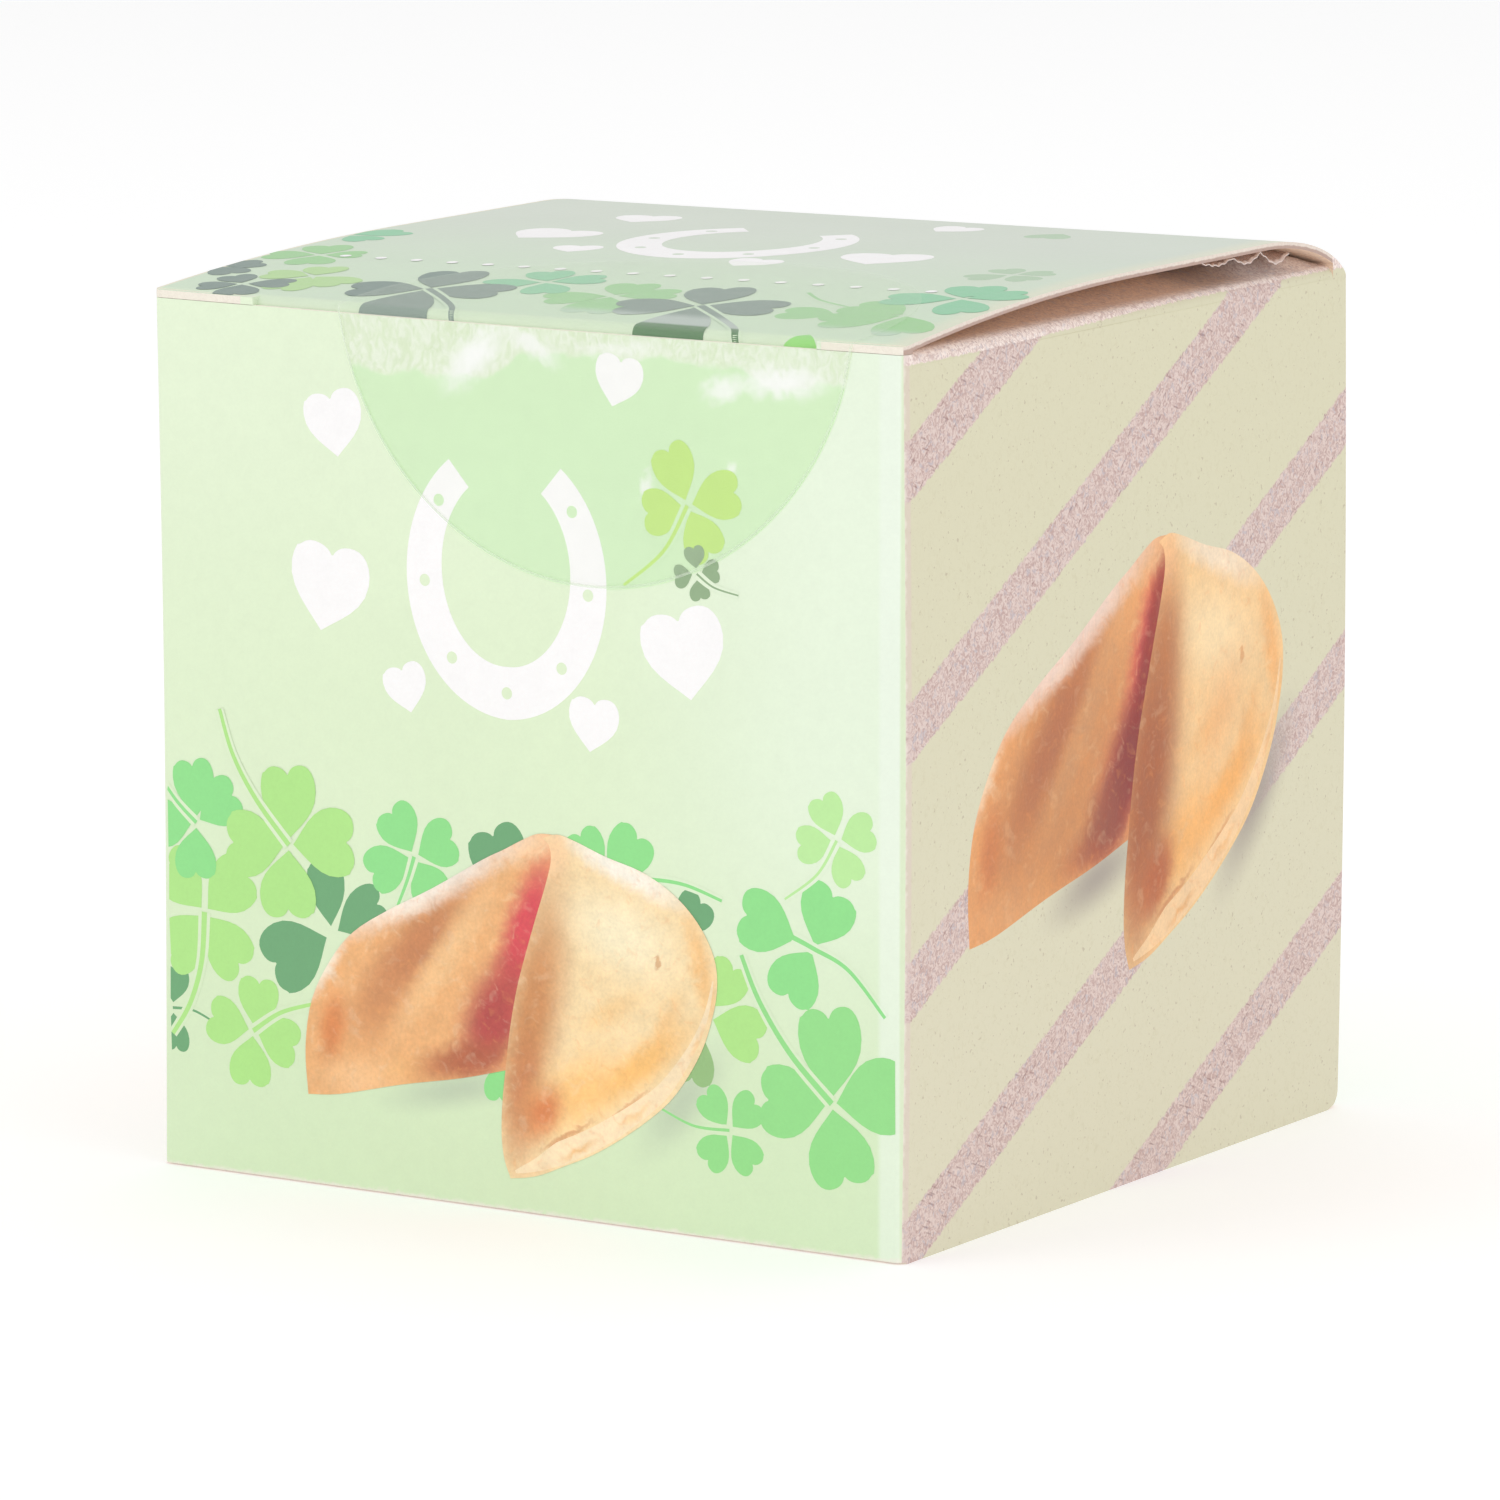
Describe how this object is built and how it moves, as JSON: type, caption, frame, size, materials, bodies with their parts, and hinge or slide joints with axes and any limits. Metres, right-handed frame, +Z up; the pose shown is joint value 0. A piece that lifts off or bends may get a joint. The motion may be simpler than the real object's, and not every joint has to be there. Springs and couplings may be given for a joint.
{
  "type": "shut card gift carton for a fortune cookie",
  "caption": "Small shut cube of printed card with a hinged, tucked-in lid held by a clear round seal, a gift carton for a single wrapped cookie.",
  "frame": {"origin": "middle of the base, on the surface the carton stands on", "axes": "+Z up, the height with the arched lid being the longest extent; the front wall with the seal faces -Y and the lid's hinge is at +Y"},
  "size_m": [0.0604, 0.0615, 0.0631],
  "materials": {
    "printed_card": "satin printed card, light green with clover shapes on the front, back and lid, beige with raw card stripes on the sides, raw cream cut edges",
    "clear_film": "clear glossy adhesive film, slightly rippled over the fold",
    "wrapper_film": "thin crimped film, glossy"
  },
  "bodies": {
    "root": {"carton": "printed_card", "seal": "clear_film", "wrapper_edge": "wrapper_film"}
  },
  "joints": []
}
